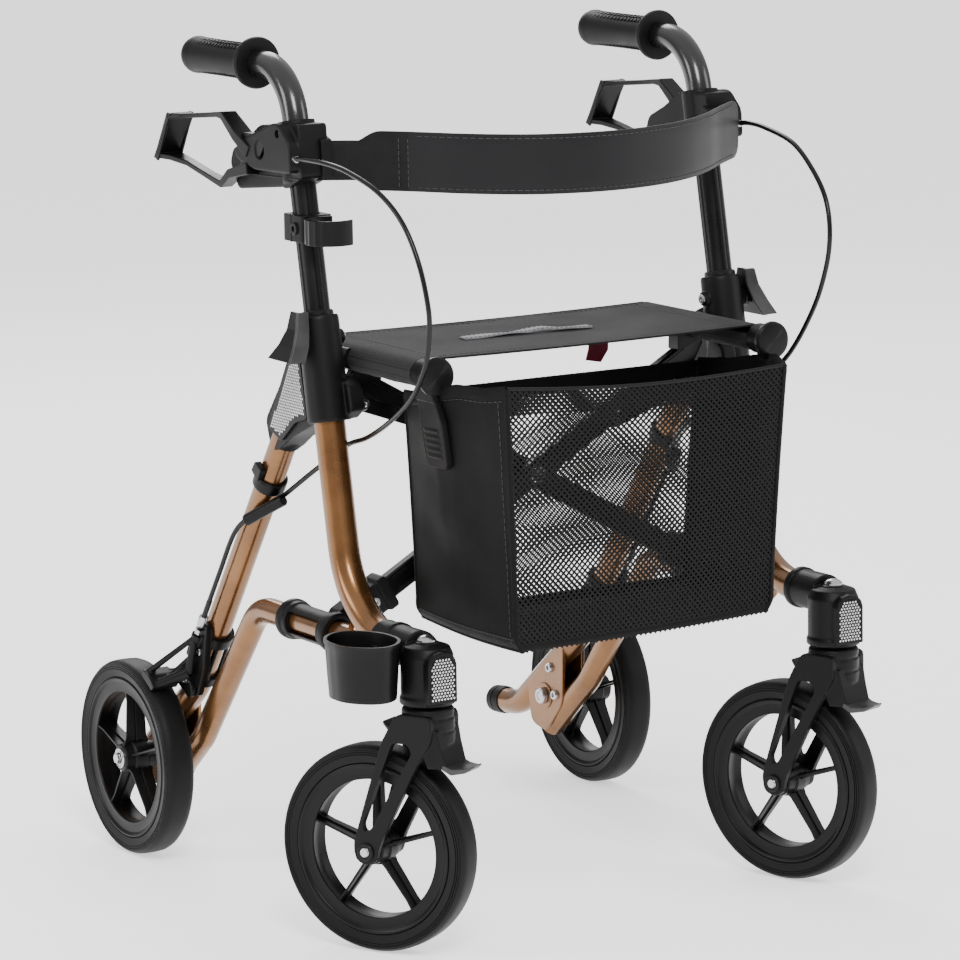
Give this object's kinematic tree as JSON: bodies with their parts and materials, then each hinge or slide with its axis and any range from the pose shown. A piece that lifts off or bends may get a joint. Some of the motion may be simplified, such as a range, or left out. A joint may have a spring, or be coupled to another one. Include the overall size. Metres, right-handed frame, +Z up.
{
  "type": "rollator walker",
  "caption": "Folding walker on wheels with telescoping handles, loop brakes, a fabric seat, a mesh shopping basket, a back strap and a cane holder.",
  "frame": {"origin": "on the floor, under the middle of the walker's box", "axes": "+Z up, the front faces -Y, the user's right hand is on -X"},
  "size_m": [0.6166, 0.6858, 0.845],
  "materials": {
    "bronze_paint": "metallic bronze lacquer, semi-gloss",
    "black_plastic": "fine-grained black moulding",
    "black_metal": "satin black coating",
    "tyre_rubber": "dark soft rubber",
    "grip_rubber": "matte moulded rubber",
    "steel": "bright plated steel",
    "cable_jacket": "smooth black jacket",
    "seat_weave": "tight dark woven cloth",
    "basket_nylon": "black nylon and open mesh",
    "strap_leather": "smooth charcoal strap",
    "reflector": "honeycomb reflector",
    "webbing": "light grey webbing",
    "red_tag": "red ribbon"
  },
  "bodies": {
    "right_frame": {"right_joint_housing": "black_plastic", "right_front_leg": "bronze_paint", "right_rear_leg": "bronze_paint", "right_lower_tube": "bronze_paint", "right_axle_bracket": "bronze_paint", "right_tip_plug": "black_plastic", "right_brake_bracket": "black_plastic", "right_brake_cable": "cable_jacket", "right_front_knuckle": "black_plastic", "right_rear_axle": "steel", "cane_cup": "black_plastic"},
    "right_knob": {"right_clamp_knob": "black_plastic"},
    "right_post": {"right_handle_post": "black_metal", "right_grip": "grip_rubber", "right_brake_housing": "black_plastic", "cane_clip": "black_plastic", "back_strap": "strap_leather"},
    "right_lever": {"right_brake_lever": "black_plastic"},
    "right_shoe": {"right_brake_shoe": "black_plastic"},
    "right_rear_wheel": {"right_rear_tyre": "tyre_rubber", "right_rear_wheel": "black_plastic"},
    "right_caster": {"right_caster_fork": "black_plastic", "right_front_axle": "steel"},
    "right_front_wheel": {"right_front_tyre": "tyre_rubber", "right_front_wheel": "black_plastic"},
    "right_brace": {"right_brace_bar": "black_metal", "right_brace_sleeve": "black_plastic", "left_seat_rail": "black_metal", "brace_pivot_bolt": "steel"},
    "right_link": {"right_upper_link": "black_metal"},
    "left_frame": {"left_joint_housing": "black_plastic", "left_front_leg": "bronze_paint", "left_rear_leg": "bronze_paint", "left_lower_tube": "bronze_paint", "left_axle_bracket": "bronze_paint", "left_tip_plug": "black_plastic", "left_brake_bracket": "black_plastic", "left_brake_cable": "cable_jacket", "left_front_knuckle": "black_plastic", "left_rear_axle": "steel"},
    "left_knob": {"left_clamp_knob": "black_plastic"},
    "left_post": {"left_handle_post": "black_metal", "left_grip": "grip_rubber", "left_brake_housing": "black_plastic"},
    "left_lever": {"left_brake_lever": "black_plastic"},
    "left_shoe": {"left_brake_shoe": "black_plastic"},
    "left_rear_wheel": {"left_rear_tyre": "tyre_rubber", "left_rear_wheel": "black_plastic"},
    "left_caster": {"left_caster_fork": "black_plastic", "left_front_axle": "steel"},
    "left_front_wheel": {"left_front_tyre": "tyre_rubber", "left_front_wheel": "black_plastic"},
    "left_brace": {"left_brace_bar": "black_metal", "left_brace_sleeve": "black_plastic", "right_seat_rail": "black_metal", "seat_panel": "seat_weave"},
    "left_link": {"left_upper_link": "black_metal"},
    "basket_hook": {"basket": "basket_nylon", "right_basket_hanger": "black_plastic"},
    "left_hook": {"left_basket_hanger": "black_plastic"}
  },
  "joints": [
    {"name": "fold", "type": "hinge", "parent": "right_frame", "child": "right_brace", "pos_m": [-0.22212, -0.08599, 0.281], "axis": [0, -1, 0], "range_deg": [0, 26], "deforming": ["seat_panel", "basket", "back_strap"]},
    {"name": "brace_pivot", "type": "hinge", "parent": "right_brace", "child": "left_brace", "pos_m": [0.00888, -0.10849, 0.412], "axis": [0, -1, 0], "range_deg": [-52, 0]},
    {"name": "left_frame_hinge", "type": "hinge", "parent": "left_brace", "child": "left_frame", "pos_m": [0.23988, -0.08599, 0.281], "axis": [0, -1, 0], "range_deg": [0, 26]},
    {"name": "basket_hook_pivot", "type": "hinge", "parent": "left_brace", "child": "basket_hook", "pos_m": [-0.18112, -0.13499, 0.542], "axis": [0, -1, 0], "range_deg": [0, 26]},
    {"name": "left_hook_pivot", "type": "hinge", "parent": "right_brace", "child": "left_hook", "pos_m": [0.19888, -0.13499, 0.542], "axis": [0, -1, 0], "range_deg": [-26, 0]},
    {"name": "right_link_pivot", "type": "hinge", "parent": "right_frame", "child": "right_link", "pos_m": [-0.19612, -0.13799, 0.503], "axis": [0, -1, 0], "range_deg": [0, 67.25]},
    {"name": "left_link_pivot", "type": "hinge", "parent": "left_frame", "child": "left_link", "pos_m": [0.21388, -0.13799, 0.503], "axis": [0, 1, 0], "range_deg": [0, 67.25]},
    {"name": "right_height", "type": "slide", "parent": "right_frame", "child": "right_post", "axis": [0, 0.1848, 0.9828], "range_m": [-0.04, 0.08], "deforming": ["right_brake_cable"]},
    {"name": "right_knob_turn", "type": "hinge", "parent": "right_frame", "child": "right_knob", "pos_m": [-0.24612, -0.10737, 0.565], "axis": [1, 0, 0], "range_deg": [0, 180]},
    {"name": "right_lever_squeeze", "type": "hinge", "parent": "right_post", "child": "right_lever", "pos_m": [-0.24412, -0.05199, 0.748], "axis": [1, 0, 0], "range_deg": [0, 9], "stiffness_Nm_per_rad": 2, "springref_deg": -8.59},
    {"name": "right_shoe_pivot", "type": "hinge", "parent": "right_frame", "child": "right_shoe", "pos_m": [-0.24612, 0.13301, 0.182], "axis": [1, 0, 0], "range_deg": [-2.4, 0]},
    {"name": "right_rear_wheel_spin", "type": "hinge", "parent": "right_frame", "child": "right_rear_wheel", "pos_m": [-0.26552, 0.21771, 0.1], "axis": [1, 0, 0], "continuous": true},
    {"name": "right_caster_swivel", "type": "hinge", "parent": "right_frame", "child": "right_caster", "pos_m": [-0.22212, -0.29769, 0.26], "axis": [0, 0, 1], "continuous": true},
    {"name": "right_front_wheel_spin", "type": "hinge", "parent": "right_caster", "child": "right_front_wheel", "pos_m": [-0.24911, -0.24988, 0.1], "axis": [0.8708, 0.4917, 0], "continuous": true},
    {"name": "left_height", "type": "slide", "parent": "left_frame", "child": "left_post", "axis": [0, 0.1848, 0.9828], "range_m": [-0.04, 0.08], "deforming": ["left_brake_cable"]},
    {"name": "left_knob_turn", "type": "hinge", "parent": "left_frame", "child": "left_knob", "pos_m": [0.26388, -0.10737, 0.565], "axis": [1, 0, 0], "range_deg": [0, 180]},
    {"name": "left_lever_squeeze", "type": "hinge", "parent": "left_post", "child": "left_lever", "pos_m": [0.26188, -0.05199, 0.748], "axis": [1, 0, 0], "range_deg": [0, 9], "stiffness_Nm_per_rad": 2, "springref_deg": -8.59},
    {"name": "left_shoe_pivot", "type": "hinge", "parent": "left_frame", "child": "left_shoe", "pos_m": [0.26388, 0.13301, 0.182], "axis": [1, 0, 0], "range_deg": [-2.4, 0]},
    {"name": "left_rear_wheel_spin", "type": "hinge", "parent": "left_frame", "child": "left_rear_wheel", "pos_m": [0.28328, 0.21771, 0.1], "axis": [1, 0, 0], "continuous": true},
    {"name": "left_caster_swivel", "type": "hinge", "parent": "left_frame", "child": "left_caster", "pos_m": [0.23988, -0.29769, 0.26], "axis": [0, 0, 1], "continuous": true},
    {"name": "left_front_wheel_spin", "type": "hinge", "parent": "left_caster", "child": "left_front_wheel", "pos_m": [0.22191, -0.24581, 0.1], "axis": [0.9449, 0.3272, 0], "continuous": true}
  ],
  "couplings": [
    {"joint": "brace_pivot", "follows": "fold", "ratio": -2},
    {"joint": "left_frame_hinge", "follows": "fold", "ratio": 1},
    {"joint": "basket_hook_pivot", "follows": "fold", "ratio": 1},
    {"joint": "left_hook_pivot", "follows": "fold", "ratio": -1},
    {"joint": "right_link_pivot", "follows": "fold", "ratio": 2.5675},
    {"joint": "left_link_pivot", "follows": "fold", "ratio": 2.5675},
    {"joint": "right_shoe_pivot", "follows": "right_lever_squeeze", "ratio": -0.26667},
    {"joint": "left_shoe_pivot", "follows": "left_lever_squeeze", "ratio": -0.26667},
    {"joint": "left_height", "follows": "right_height", "ratio": 1}
  ]
}
